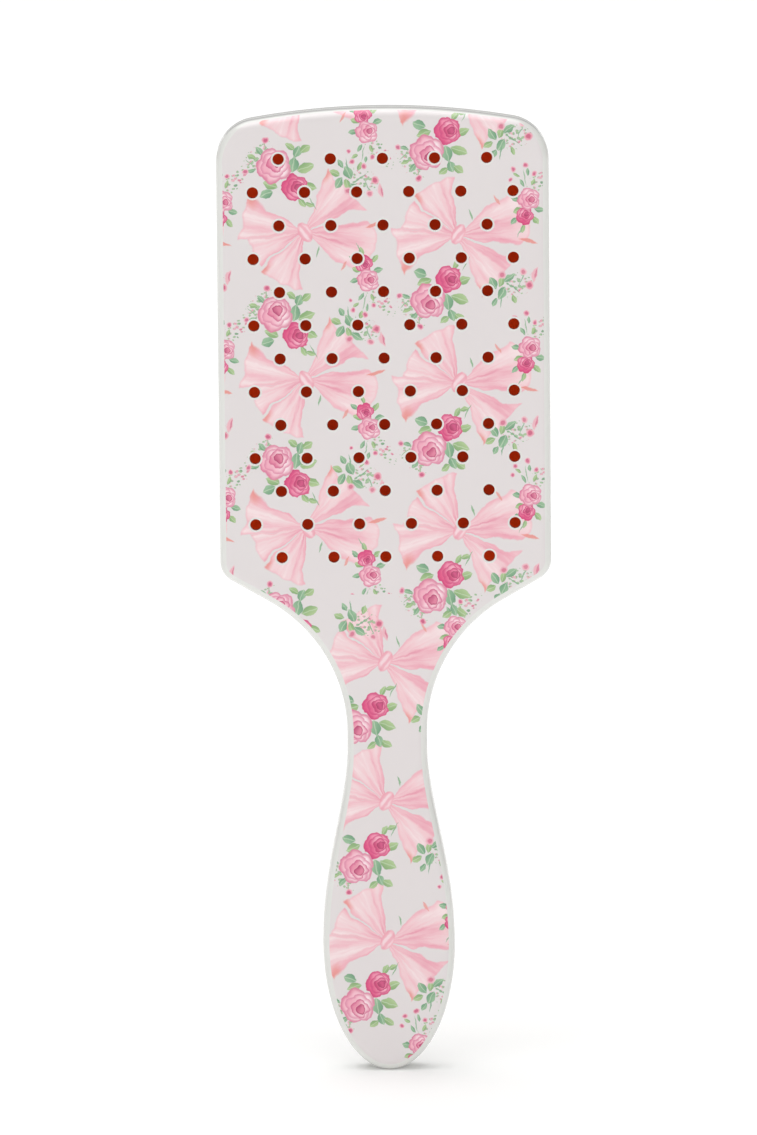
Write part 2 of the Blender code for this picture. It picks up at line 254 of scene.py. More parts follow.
def body_outline():
    """The body's outline; its long straight sides are given points of their own."""
    upper = capped_half(HEAD_HALF_WIDTH, HEAD_TOP, TOP_CORNER_R, HEAD_TOP_ARC_R, 26, 22)
    lower = shoulder_half()
    z = np.linspace(lower[-1][0][-1][1] + 1.0, upper[0][0][0][1] - 1.0, 26)
    side = (np.stack([np.full_like(z, HEAD_HALF_WIDTH), z], 1), np.tile([1.0, 0.0], (len(z), 1)))
    return closed(handle_half() + lower + [side] + upper)


def pad_outline():
    """The window's outline, the same at both ends."""
    upper = capped_half(PAD_HALF_WIDTH, PAD_HALF_HEIGHT, PAD_CORNER_R, PAD_END_ARC_R, 14, 24)
    flip = np.array([1.0, -1.0])
    lower = [(points[::-1] * flip, normals[::-1] * flip) for points, normals in upper[::-1]]
    z = np.linspace(-1.0, 1.0, 30) * (upper[0][0][0][1] - 1.5)
    side = (np.stack([np.full_like(z, PAD_HALF_WIDTH), z], 1), np.tile([1.0, 0.0], (len(z), 1)))
    points, normals = closed(lower + [side] + upper)
    return points + np.array([0.0, PAD_CENTRE_Z]), normals


BODY = body_outline()
WINDOW = pad_outline()


def handle_share(z):
    """0 on the head, 1 on the handle."""
    return 1.0 - smooth_share(z, NECK_TOP, SHOULDER_TOP)


def ring(loop, inset, depth):
    """A loop moved inwards to a depth; both may differ from point to point."""
    points, normals = loop
    flat = points - np.reshape(inset, (-1, 1)) * normals
    return np.stack([flat[:, 0], np.broadcast_to(depth, len(flat)), flat[:, 1]], 1)


def circle(x, z, radius, depth, points):
    """A circle facing along the depth."""
    angle = np.arange(points) * 2 * math.pi / points
    depths = np.full(points, depth)
    return np.stack([x + radius * np.cos(angle), depths, z + radius * np.sin(angle)], 1)


def within(loop, places):
    """Which places lie within a closed loop, both seen along the depth."""
    crossings = np.zeros(len(places), int)
    for first, second in zip(loop, np.roll(loop, -1, axis=0)):
        spans = (first[2] > places[:, 2]) != (second[2] > places[:, 2])
        share = (places[:, 2] - first[2]) / (second[2] - first[2] or 1.0)
        crossings += spans & (places[:, 0] < first[0] + share * (second[0] - first[0]))
    return crossings % 2 == 1


# ---------------------------------------- mesh building

class Skin:
    """Collects patches of one closed surface, in millimetres as (x, depth, z)."""

    def __init__(self):
        self.points = []
        self.values = []
        self.faces = []

    def put(self, points, value):
        """Adds points that share a value, or have one each; returns the first one's number."""
        start = sum(len(block) for block in self.points)
        self.points.append(np.array(points, float))
        self.values.append(np.full(len(points), 0.0) + value)
        return start

    def loft(self, rings, values=None):
        """Quads between each ring and the next; each ring may have a value of its own."""
        values = values or [0.0] * len(rings)
        starts = [self.put(points, value) for points, value in zip(rings, values)]
        count = len(rings[0])
        for first, second in zip(starts, starts[1:]):
            for k in range(count):
                after = (k + 1) % count
                self.faces.append((first + k, first + after, second + after, second + k))

    def fill(self, outer, holes, value=0.0, spare=(), height=None):
        """Triangles inside an outer ring and outside its holes.

        They are flat, or follow a height function through spare points within the ring.
        """
        loops = [outer] + list(holes)
        flat, edges = [], []
        for loop in loops:
            start = len(flat)
            flat += [Vector((p[0], p[2])) for p in loop]
            edges += [(start + k, start + (k + 1) % len(loop)) for k in range(len(loop))]
        flat += [Vector(p) for p in spare]
        found = delaunay_2d_cdt(flat, edges, [], 1, FILL_TOLERANCE)
        places = np.array([(p.x, 0.0, p.y) for p in found[0]])
        places[:, 1] = outer[0][1] if height is None else height(places[:, 0], places[:, 2])
        start = self.put(places, value)
        corners = np.array(found[2])
        middles = places[corners].mean(axis=1)
        kept = np.ones(len(corners), bool)
        for hole in holes:
            kept &= ~within(hole, middles)
        self.faces += [tuple(face) for face in (corners[kept] + start).tolist()]

    def mesh(self, name, attribute=None):
        """The finished mesh, welded and facing outwards."""
        points = np.concatenate(self.points)
        world = np.stack([points[:, 0] * MM, BACK_Y + points[:, 1] * MM, points[:, 2] * MM], 1)
        bm = bmesh.new()
        layer = bm.verts.layers.float.new(attribute) if attribute else None
        verts = [bm.verts.new(place) for place in world.tolist()]
        if layer:
            for vert, value in zip(verts, np.concatenate(self.values).tolist()):
                vert[layer] = value
        for face in self.faces:
            bm.faces.new([verts[index] for index in face])
        bmesh.ops.remove_doubles(bm, verts=bm.verts, dist=WELD_DISTANCE * MM)
        bmesh.ops.recalc_face_normals(bm, faces=bm.faces)
        for face in bm.faces:
            face.smooth = True
        mesh = bpy.data.meshes.new(name)
        bm.to_mesh(mesh)
        bm.free()
        return mesh


def add_object(name, data):
    """A new object in the scene."""
    made = bpy.data.objects.new(name, data)
    bpy.context.scene.collection.objects.link(made)
    return made


def add_piece(name, mesh, material, body=None, stands_for=()):
    """An object for the mesh, riding on a CAD body and standing for CAD nodes."""
    piece = add_object(name, mesh)
    mesh.materials.append(material)
    if body:
        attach(piece, body)
    if stands_for:
        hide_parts(*stands_for)
    return piece


def flat_shading(piece):
    """Keeps large flat faces free of the shading of the small curved ones beside them."""
    weighted = piece.modifiers.new("even_shading", "WEIGHTED_NORMAL")
    weighted.mode = "FACE_AREA"
    weighted.weight = 100
    weighted.keep_sharp = True


# ---------------------------------------- the body

def vent_places():
    """Centres of the vents: rows of five and six in turn about the pad's centre."""
    places = []
    for row in range(VENT_ROWS):
        count = 5 + row % 2
        z = PAD_CENTRE_Z + (row - (VENT_ROWS - 1) / 2) * VENT_PITCH_Z
        places += [((k - (count - 1) / 2) * VENT_PITCH_X, z) for k in range(count)]
    return places


def back_shell_mesh():
    """Flat vented back, rounded rim, side wall and the tongue that fits the front shell.

    Its "trim" values are above 0 where the print lies and below 0 where the plastic is bare.
    """
    skin = Skin()
    rounding = HEAD_ROUNDING + (HANDLE_BACK_ROUNDING - HEAD_ROUNDING) * handle_share(BODY[0][:, 1])
    turn = np.linspace(0.0, math.pi / 2, 11)
    rings = [ring(BODY, rounding * (1 - math.sin(a)), rounding * (1 - math.cos(a))) for a in turn]
    # The print reaches nearer to the rim along the top of the head
    margin = PRINT_MARGIN - PRINT_TOP_GAIN * np.clip(BODY[1][:, 1], 0.0, 1.0) ** 4
    trims = [rounding * (1 - math.sin(a)) - margin for a in turn]
    edge = [(0.0, 5.0), (0.0, SEAM_DEPTH - 0.30), (0.04, SEAM_DEPTH - 0.14),
            (0.14, SEAM_DEPTH - 0.04), (0.30, SEAM_DEPTH), (TONGUE_INSET, SEAM_DEPTH),
            (TONGUE_INSET, TONGUE_DEPTH - 0.15), (TONGUE_INSET + 0.15, TONGUE_DEPTH),
            (WALL, TONGUE_DEPTH), (WALL, WALL + 0.5), (WALL + 0.15, WALL + 0.15),
            (WALL + 0.5, WALL)]
    rings += [ring(BODY, inset, depth) for inset, depth in edge]
    trims += [-1.0] * len(edge)
    skin.loft(rings, trims)
    outer_holes, inner_holes = [], []
    for x, z in vent_places():
        vent = [circle(x, z, VENT_R + widening, depth, VENT_POINTS)
                for widening, depth in VENT_MOUTH]
        skin.loft(vent, [1.0] + [-1.0] * (len(vent) - 1))
        outer_holes.append(vent[0])
        inner_holes.append(vent[-1])
    skin.fill(rings[0], outer_holes, 1.0)
    skin.fill(rings[-1], inner_holes, -1.0)
    return skin.mesh("printed_back", "trim")


def front_shell_mesh():
    """Plain front half: rounded front, window edge, groove for the tongue and hollow inside."""
    skin = Skin()
    share = handle_share(BODY[0][:, 1])
    width = HEAD_ROUNDING + (HANDLE_FRONT_WIDTH - HEAD_ROUNDING) * share
    drop = HEAD_ROUNDING + (HANDLE_FRONT_DROP - HEAD_ROUNDING) * share
    start = SEAM_DEPTH + SEAM_GAP
    turn = np.linspace(0.0, math.pi / 2, 13)
    rings = [ring(BODY, width * (1 - math.sin(a)), BODY_DEPTH - drop * (1 - math.cos(a)))
             for a in turn]
    edge = [(0.0, start + 0.30), (0.04, start + 0.14), (0.14, start + 0.04), (0.30, start),
            (GROOVE_INSET, start), (GROOVE_INSET, GROOVE_DEPTH), (FRONT_WALL, GROOVE_DEPTH),
            (FRONT_WALL, 11.0), (FRONT_WALL + 0.15, 11.42), (FRONT_WALL + 0.5, BODY_DEPTH - WALL)]
    rings += [ring(BODY, inset, depth) for inset, depth in edge]
    skin.loft(rings)
    turn = np.linspace(0.0, math.pi / 2, 6)
    window = [ring(WINDOW, WINDOW_LIP * (math.sin(a) - 1),
                   BODY_DEPTH - WINDOW_LIP * (1 - math.cos(a))) for a in turn]
    window.append(ring(WINDOW, 0.0, BODY_DEPTH - WALL))
    skin.loft(window)
    skin.fill(rings[0], [window[0]])
    skin.fill(rings[-1], [window[-1]])
    return skin.mesh("white_front")


# ---------------------------------------- the pad and its pins

def dome(x, z):
    """How far the pad's skin swells above its rounded edge."""
    across = np.clip(x / (PAD_HALF_WIDTH - PAD_ROLL_WIDTH), -1.0, 1.0)
    along = np.clip((z - PAD_CENTRE_Z) / (PAD_HALF_HEIGHT - PAD_ROLL_WIDTH), -1.0, 1.0)
    share = (1 - across ** 2) * (1 - along ** 2)
    return PAD_DOME * share * share * (3 - 2 * share)


def strip_pins():
    """For each strip: its x and the heights of its pins, both from the CAD strip's box."""
    found = []
    for name in STRIPS:
        low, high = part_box(name)
        length = (high.z - low.z) / MM - 2 * RAIL_OVERHANG
        count = round(length / PIN_PITCH) + 1
        middle = (low.z + high.z) / 2 / MM
        heights = [middle + (k - (count - 1) / 2) * PIN_PITCH for k in range(count)]
        found.append((name, (low.x + high.x) / 2 / MM, heights))
    return found


def pad_edge():
    """Rings from the underside of the pad's skin, round its clamped rim, to its top."""
    turn = np.linspace(0.0, math.pi / 2, 10)
    rise = PAD_CROWN_DEPTH - BODY_DEPTH
    inner_roll = PAD_ROLL_WIDTH - PAD_THICKNESS
    inner_side = [ring(WINDOW, PAD_GAP + PAD_ROLL_WIDTH - inner_roll * math.cos(a),
                       BODY_DEPTH + (rise - PAD_THICKNESS) * math.sin(a)) for a in turn]
    inner_rim = PAD_GAP + PAD_THICKNESS
    rim = [(inner_rim, RIM_BACK_DEPTH + 0.8), (inner_rim - 0.1, RIM_BACK_DEPTH),
           (0.2 - FLANGE_WIDTH, RIM_BACK_DEPTH), (-FLANGE_WIDTH, RIM_BACK_DEPTH + 0.2),
           (-FLANGE_WIDTH, RIM_FRONT_DEPTH - 0.2), (0.2 - FLANGE_WIDTH, RIM_FRONT_DEPTH),
           (PAD_GAP - 0.1, RIM_FRONT_DEPTH), (PAD_GAP, RIM_FRONT_DEPTH + 0.6)]
    outer_side = [ring(WINDOW, PAD_GAP + PAD_ROLL_WIDTH * (1 - math.cos(a)),
                       BODY_DEPTH + rise * math.sin(a)) for a in turn]
    for last in (inner_side[-1], outer_side[-1]):
        last[:, 1] += dome(last[:, 0], last[:, 2])
    return inner_side[::-1] + [ring(WINDOW, inset, depth) for inset, depth in rim] + outer_side


def pad_collar(x, z):
    """Rings of the raised collar at one pin, from the pad's top through to its underside."""
    profile = [(2.0, 0.0), (1.86, 0.05), (1.72, 0.20), (1.62, 0.35), (1.50, 0.42), (1.38, 0.40),
               (1.30, 0.28), (PIN_HOLE_R, -0.4), (PIN_HOLE_R, -PAD_THICKNESS)]
    rings = [circle(x, z, radius, PAD_CROWN_DEPTH + lift, COLLAR_POINTS)
             for radius, lift in profile]
    for loop in rings:
        loop[:, 1] += dome(loop[:, 0], loop[:, 2])
    return rings


def pad_mesh():
    """Rubber pad: clamped rim, rounded edge, swelling skin and a raised collar at every pin."""
    skin = Skin()
    edge = pad_edge()
    skin.loft(edge)
    pins = [(x, z) for _, x, heights in strip_pins() for z in heights]
    tops, bottoms = [], []
    for x, z in pins:
        collar = pad_collar(x, z)
        skin.loft(collar)
        tops.append(collar[0])
        bottoms.append(collar[-1])
    columns = range(-PAD_GRID_COLUMNS, PAD_GRID_COLUMNS + 1)
    rows = range(-PAD_GRID_ROWS, PAD_GRID_ROWS + 1)
    grid = [(i * PAD_GRID, PAD_CENTRE_Z + k * PAD_GRID) for i in columns for k in rows]
    centres = np.array(pins)
    spare = [p for p in grid if np.linalg.norm(centres - p, axis=1).min() > COLLAR_CLEARANCE]
    underside = PAD_CROWN_DEPTH - PAD_THICKNESS
    skin.fill(edge[-1], tops, 0.0, spare, lambda x, z: PAD_CROWN_DEPTH + dome(x, z))
    skin.fill(edge[0], bottoms, 0.0, spare, lambda x, z: underside + dome(x, z))
    return skin.mesh("pad")


def pin_rings(x, z):
    """Rings of one pin, from inside its rail to its ball tip."""
    ball = PIN_TIP_DEPTH - PIN_BALL_R
    profile = [(0.0, RAIL_FRONT_DEPTH - 0.6), (0.78, RAIL_FRONT_DEPTH - 0.6), (0.78, 21.0),
               (0.77, 22.0), (0.73, 24.0), (0.66, 28.0), (0.58, 32.0), (0.52, 35.2), (0.5, 36.0)]
    for degrees in range(-52, 90, 14):
        angle = math.radians(degrees)
        profile.append((PIN_BALL_R * math.cos(angle), ball + PIN_BALL_R * math.sin(angle)))
    profile.append((0.0, PIN_TIP_DEPTH))
    return [circle(x, z, radius, depth, PIN_POINTS) for radius, depth in profile]


def strip_mesh(name, x, heights):
    """One column of pins on its rail."""
    skin = Skin()
    for z in heights:
        skin.loft(pin_rings(x, z))
    half_width = RAIL_WIDTH / 2
    half_length = (heights[-1] - heights[0]) / 2 + RAIL_OVERHANG
    cut = 0.4
    quarter = [(half_width, half_length - cut), (half_width - cut, half_length)]
    corner = quarter + [(-a, b) for a, b in quarter[::-1]]
    corner = np.array(corner + [(a, -b) for a, b in corner[::-1]])
    centre = np.array([x, (heights[0] + heights[-1]) / 2])
    outline = (corner + centre, np.sign(corner))
    edge = 0.15
    depths = [(edge, RAIL_BACK_DEPTH), (0.0, RAIL_BACK_DEPTH + edge),
              (0.0, RAIL_FRONT_DEPTH - edge), (edge, RAIL_FRONT_DEPTH)]
    rings = [ring(outline, inset, depth) for inset, depth in depths]
    skin.loft(rings)
    skin.fill(rings[0], [])
    skin.fill(rings[-1], [])
    return skin.mesh(name)


# ---------------------------------------- node-tree helper

def linear(code):
    """Scene-linear colour of a six-digit sRGB code."""
    shares = [int(code[k:k + 2], 16) / 255 for k in (0, 2, 4)]
    curve = [s / 12.92 if s <= 0.04045 else ((s + 0.055) / 1.055) ** 2.4 for s in shares]
    return (*curve, 1.0)


class Sheet:
    """A node tree, written as nested calls that take sockets or plain values."""

    def __init__(self, owner):
        """Empties the tree of its owner, a material or a world."""
        owner.use_nodes = True
        self.owner = owner
        self.tree = owner.node_tree
        self.tree.nodes.clear()

    def feed(self, socket, value):
        if isinstance(value, bpy.types.NodeSocket):
            self.tree.links.new(value, socket)
        elif value is not None:
            socket.default_value = value

    def node(self, kind, **settings):
        made = self.tree.nodes.new(kind)
        for name, value in settings.items():
            setattr(made, name, value)
        return made

    def math(self, operation, *values):
        made = self.node("ShaderNodeMath", operation=operation)
        for socket, value in zip(made.inputs, values):
            self.feed(socket, value)
        return made.outputs[0]

    def add(self, a, b):
        return self.math("ADD", a, b)

    def sub(self, a, b):
        return self.math("SUBTRACT", a, b)

    def mul(self, a, b):
        return self.math("MULTIPLY", a, b)

    def div(self, a, b):
        return self.math("DIVIDE", a, b)

    def line(self, value, slope, start):
        """start + slope * value."""
        return self.math("MULTIPLY_ADD", value, slope, start)

    def fit(self, value, low, high, to_low=0.0, to_high=1.0):
        """Value carried smoothly from low..high to to_low..to_high and held at both ends."""
        made = self.node("ShaderNodeMapRange", clamp=False, interpolation_type="SMOOTHSTEP")
        for socket, number in zip(made.inputs, (value, low, high, to_low, to_high)):
            self.feed(socket, number)
        return made.outputs[0]

    def choose(self, share, first, second):
        """The first number where share is 0, the second where it is 1."""
        made = self.node("ShaderNodeMix", data_type="FLOAT")
        for index, value in ((0, share), (2, first), (3, second)):
            self.feed(made.inputs[index], value)
        return made.outputs[0]

    def join(self, x, y, z=0.0):
        made = self.node("ShaderNodeCombineXYZ")
        for socket, value in zip(made.inputs, (x, y, z)):
            self.feed(socket, value)
        return made.outputs[0]

    def part(self, vector, axis):
        """One number of a vector."""
        made = self.node("ShaderNodeVectorMath", operation="DOT_PRODUCT")
        self.feed(made.inputs[0], vector)
        made.inputs[1].default_value = [float(letter == axis) for letter in "xyz"]
        return made.outputs["Value"]

    def split(self, vector, axes="xy"):
        return [self.part(vector, axis) for axis in axes]

    def place(self, vector, x, y, turn, half_length, half_width):
        """Vector seen from a small frame at (x, y), turned, where its half sizes are 1."""
        made = self.node("ShaderNodeMapping", vector_type="TEXTURE")
        self.feed(made.inputs["Vector"], vector)
        made.inputs["Location"].default_value = (x, y, 0.0)
        made.inputs["Rotation"].default_value = (0.0, 0.0, math.radians(turn))
        made.inputs["Scale"].default_value = (half_length, half_width, 1.0)
        return made.outputs[0]

    def length(self, vector):
        made = self.node("ShaderNodeVectorMath", operation="LENGTH")
        self.feed(made.inputs[0], vector)
        return made.outputs["Value"]

    def scaled(self, vector, factor):
        made = self.node("ShaderNodeVectorMath", operation="SCALE")
        self.feed(made.inputs[0], vector)
        self.feed(made.inputs["Scale"], factor)
        return made.outputs[0]

    def moved(self, vector, other, operation="ADD"):
        made = self.node("ShaderNodeVectorMath", operation=operation)
        self.feed(made.inputs[0], vector)
        self.feed(made.inputs[1], other)
        return made.outputs[0]

    def noise(self, vector, scale, detail=2.0, rough=0.5, output="Fac"):
        made = self.node("ShaderNodeTexNoise", noise_dimensions="3D")
        self.feed(made.inputs["Vector"], vector)
        made.inputs["Scale"].default_value = scale
        made.inputs["Detail"].default_value = detail
        made.inputs["Roughness"].default_value = rough
        return made.outputs[output]

    def ramp(self, value, stops, smooth=True):
        """Colour read along a ramp of (place, colour code) stops."""
        made = self.node("ShaderNodeValToRGB")
        band = made.color_ramp
        band.interpolation = "EASE" if smooth else "LINEAR"
        while len(band.elements) < len(stops):
            band.elements.new(1.0)
        for element, (place, code) in zip(band.elements, stops):
            element.position = place
            element.color = linear(code)
        self.feed(made.inputs[0], value)
        return made.outputs[0]

    def mix(self, share, under, over):
        made = self.node("ShaderNodeMix", data_type="RGBA")
        self.feed(made.inputs[0], share)
        self.feed(made.inputs[6], linear(under) if isinstance(under, str) else under)
        self.feed(made.inputs[7], linear(over) if isinstance(over, str) else over)
        return made.outputs[2]

    def attribute(self, name):
        return self.node("ShaderNodeAttribute", attribute_name=name).outputs["Fac"]

    def show(self, surface, kind="ShaderNodeOutputMaterial"):
        """Makes the surface the tree's result and returns the tree's owner."""
        out = self.node(kind)
        self.feed(out.inputs["Surface"], surface)
        return self.owner


# ---------------------------------------- the printed pattern

def cell(sheet, x, y, centre_x, centre_y, seam, slip_x, slip_y, end, end_x):
    """Position within one repeat, measured from a motif's centre.

    Columns on the head are mirrored top to bottom in turn, and a motif may slip a little in
    the mirrored ones; below the seam height one upright column runs down the handle, and below
    the end height the motif moves across by end_x.
    """
    below = sheet.math("LESS_THAN", y, seam)
    across = sheet.div(sheet.sub(x, RIGHT_COLUMN_X + centre_x), COLUMN_PITCH)
    column = sheet.math("ROUND", across)
    odd = sheet.math("FLOORED_MODULO", column, 2.0)
    odd = sheet.mul(odd, sheet.sub(1.0, below))
    head_x = sheet.mul(sheet.sub(across, column), COLUMN_PITCH)
    if slip_x:
        head_x = sheet.line(odd, -slip_x, head_x)
    handle_x = sheet.sub(x, HANDLE_COLUMN_X + centre_x)
    if end:
        last = sheet.math("LESS_THAN", y, end)
        handle_x = sheet.line(last, -end_x, handle_x)
    local_x = sheet.choose(below, head_x, handle_x)
    flip = sheet.sub(1.0, sheet.mul(odd, 2.0))
    row = sheet.choose(below, RIGHT_ROW_Y, HANDLE_ROW_Y)
    row = sheet.add(row, sheet.add(sheet.mul(flip, centre_y), sheet.mul(odd, LEFT_ROW_RISE + slip_y)))
    half = sheet.choose(below, HEAD_REPEAT / 2, HANDLE_REPEAT / 2)
    local_y = sheet.math("WRAP", sheet.sub(y, row), half, sheet.mul(half, -1.0))
    return sheet.join(local_x, sheet.mul(local_y, flip))


def leaf(sheet, colour, p, x, y, turn, length, width, dark, light):
    """A pointed leaf with a pale midrib and a darker rim, painted over the colour."""
    px, py = sheet.split(sheet.place(p, x, y, turn, length / 2, width / 2))
    side = sheet.math("ABSOLUTE", py)
    bulge = sheet.line(sheet.mul(px, px), -1.0, 1.0)
    inside = sheet.sub(bulge, side)
    tone = sheet.line(py, 0.38, sheet.line(px, 0.25, 0.5))
    fill = sheet.mix(tone, dark, light)
    fill = sheet.mix(sheet.fit(side, 0.16, 0.02, 0.0, 0.45), fill, "d3e0c4")
    fill = sheet.mix(sheet.fit(inside, 0.22, 0.04, 0.0, 0.45), fill, "5d9063")
    return sheet.mix(sheet.fit(inside, 0.02, 0.16), colour, fill)


def leaves(sheet, colour, p, rows):
    """Leaves, each given as its middle, turn, length, width and pair of greens."""
    for x, y, turn, length, width, greens in rows:
        colour = leaf(sheet, colour, p, x, y, turn, length, width, *greens)
    return colour


def stroke(sheet, colour, p, x, y, turn, length, width, tint, bend):
    """A thin tapering brush mark."""
    px, py = sheet.split(sheet.place(p, x, y, turn, length / 2, width / 2))
    across = sheet.mul(px, px)
    py = sheet.line(across, bend, py)
    inside = sheet.sub(sheet.sub(1.0, across), sheet.math("ABSOLUTE", py))
    return sheet.mix(sheet.fit(inside, 0.0, 0.5, 0.0, 0.9), colour, tint)


def bud(sheet, colour, p, x, y, radius, tint, heart):
    """A small round bud with a deeper heart."""
    away = sheet.length(sheet.place(p, x, y, 0.0, radius, radius))
    fill = sheet.mix(sheet.fit(away, 0.35, 0.75), heart, tint)
    return sheet.mix(sheet.fit(away, 1.05, 0.75), colour, fill)


# Petal layers of a rose from the outside in: size, shift towards the lit side, lobes, and the
# colours of its lit part, its shaded part and its rim
PALE_ROSE = [
    (1.0, 0.0, 5.0, "f9e3e8", "f0aec0", "d66f92"),
    (0.76, 0.10, 5.0, "f9dde4", "eea6ba", "dc84a2"),
    (0.53, 0.20, 4.0, "f5c8d3", "e27d9c", "d05e88"),
    (0.30, 0.26, 3.0, "dd7a98", "bd3c70", "b02c63"),
]
HOT_ROSE = [
    (1.0, 0.0, 5.0, "f197b4", "dc3d7a", "cd3072"),
    (0.74, 0.10, 5.0, "f5b1c6", "dc477f", "d03e78"),
    (0.5, 0.19, 4.0, "e9789f", "cb3470", "be2a67"),
    (0.29, 0.25, 3.0, "cc437a", "ad225a", "a01c52"),
]


def petals(sheet, colour, p, size, turn, lobes, tints):
    """One layer of petals: a lobed disc, deeper on its shaded side and along its rim."""
    lit, shaded, rim = tints
    qx, qy = sheet.split(p)
    away = sheet.length(p)
    angle = sheet.math("ARCTAN2", qy, qx)
    lobe = sheet.math("SINE", sheet.line(angle, lobes / 2, turn))
    lobe = sheet.math("ABSOLUTE", lobe)
    edge = sheet.line(lobe, -0.16, sheet.mul(away, 1 / size))
    fill = sheet.mix(sheet.fit(sheet.mul(qx, 1 / size), 0.35, -0.85), lit, shaded)
    fill = sheet.mix(sheet.fit(edge, 0.55, 0.84, 0.0, 0.9), fill, rim)
    return sheet.mix(sheet.fit(edge, 0.88, 0.83), colour, fill)


def rose(sheet, colour, p, x, y, turn, size, layers, bend):
    """A cabbage rose: layers of petals closing round a dark heart set off its centre."""
    q = sheet.place(p, x, y, turn, size / 2, size / 2)
    ruffle = sheet.noise(sheet.moved(q, (bend, bend, 0.0)), 2.2, 1.0)
    q = sheet.moved(q, sheet.join(sheet.line(ruffle, 0.34, -0.17), 0.0))
    for number, (share, shift, lobes, *tints) in enumerate(layers):
        inner = sheet.moved(q, (-shift, 0.4 * shift, 0.0)) if shift else q
        colour = petals(sheet, colour, inner, share, bend + 0.9 * number, lobes, tints)
    return colour


def bow_fan(sheet, colour, polar, spec):
    """One loop or tail of the bow: soft folds spreading from the knot within a sector."""
    away, angle, folds, threads = polar
    middle, half_angle, reach, hollow, shade, tips = spec
    off = sheet.math("WRAP", sheet.sub(angle, math.radians(middle)), math.pi, -math.pi)
    off = sheet.div(off, math.radians(half_angle))
    side = sheet.math("ABSOLUTE", off)
    rim = sheet.line(sheet.mul(off, off), hollow, reach - hollow)
    rim = sheet.line(folds, 2.4, rim)
    depth = sheet.sub(rim, away)
    inside = sheet.mul(sheet.fit(depth, -0.15, 0.4), sheet.fit(side, 1.03, 0.95))
    share = sheet.div(away, reach)
    tone = sheet.line(share, 0.16, sheet.mul(folds, 0.75))
    tone = sheet.line(off, shade, sheet.line(threads, 0.32, tone))
    fill = sheet.ramp(tone, [(0.43, "e698aa"), (0.50, "ebabb9"), (0.56, "eebac4"),
                             (0.63, "f0c7cd"), (0.72, "f0d1d5"), (0.82, "f4dddf")])
    fill = sheet.mix(sheet.fit(side, 0.72, 0.98, 0.0, 0.55), fill, "eb9dae")
    fill = sheet.mix(sheet.fit(depth, 0.9, 0.1, 0.0, 0.5), fill, "eca6b4")
    if tips:
        corner = sheet.mul(sheet.fit(sheet.mul(off, tips), 0.55, 0.95), sheet.fit(share, 0.78, 0.98))
        fill = sheet.mix(sheet.mul(corner, 0.8), fill, "e68b82")
    return sheet.mix(inside, colour, fill)


# (middle angle, half angle, reach, how much longer the corners are, which side is lit,
# which corner is tipped)
BOW_FANS = [
    (-44.0, 23.0, 16.8, 1.6, -0.06, -1.0),
    (156.0, 16.0, 14.0, 0.6, 0.06, 0.0),
    (193.0, 21.0, 16.8, 1.3, -0.06, 1.0),
    (115.0, 22.0, 14.9, 0.7, 0.06, 1.0),
    (13.0, 26.0, 16.6, -2.2, 0.07, 0.0),
]


def bow(sheet, colour, p):
    """A soft ribbon bow: overlapping fans of folds and a gathered knot."""
    bent = sheet.noise(sheet.moved(p, (3.0, 8.0, 0.0)), 0.11, 1.0)
    x, y = sheet.split(p)
    away = sheet.length(p)
    angle = sheet.math("ARCTAN2", y, x)
    round_x = sheet.math("COSINE", angle)
    round_y = sheet.math("SINE", angle)
    folds = sheet.noise(sheet.join(round_x, round_y, sheet.mul(away, 0.012)), 4.2, 1.0)
    threads = sheet.noise(sheet.join(round_x, round_y, sheet.mul(away, 0.010)), 15.0, 2.0)
    swung = sheet.line(sheet.sub(bent, 0.5), 0.55, angle)
    polar = (away, swung, folds, threads)
    for spec in BOW_FANS:
        colour = bow_fan(sheet, colour, polar, spec)
    knot = sheet.place(p, 0.4, 0.3, 62.0, 3.0, 1.8)
    kx, ky = sheet.split(knot)
    near = sheet.length(knot)
    ruck = sheet.math("SINE", sheet.line(ky, 6.0, sheet.mul(kx, 2.2)))
    fill = sheet.mix(sheet.fit(ruck, -0.9, 0.9), "ecadba", "f4d4da")
    fill = sheet.mix(sheet.fit(near, 0.55, 0.98, 0.0, 0.7), fill, "e996a7")
    return sheet.mix(sheet.fit(near, 1.04, 0.90), colour, fill)


def ribbon_marks(sheet, colour, p):
    """Coral ends of the ribbon and thin green stalks, placed from the bow's centre."""
    p = sheet.moved(p, (RIBBON_MARKS_X, 0.0, 0.0))
    colour = stroke(sheet, colour, p, 19.2, -1.6, -14.0, 6.0, 1.3, "e68b82", 0.2)
    colour = stroke(sheet, colour, p, 10.9, 9.4, -58.0, 3.6, 1.0, "e69a93", 0.2)
    colour = stroke(sheet, colour, p, 3.9, 5.6, -75.0, 3.6, 0.7, "82ad82", 0.4)
    return stroke(sheet, colour, p, 2.5, -7.6, 62.0, 5.2, 0.45, "82ad82", 0.5)


# Darker and lighter colour of each kind of leaf
GREEN = ("74a062", "b4cb95")
TEAL = ("5d946f", "9dc09b")


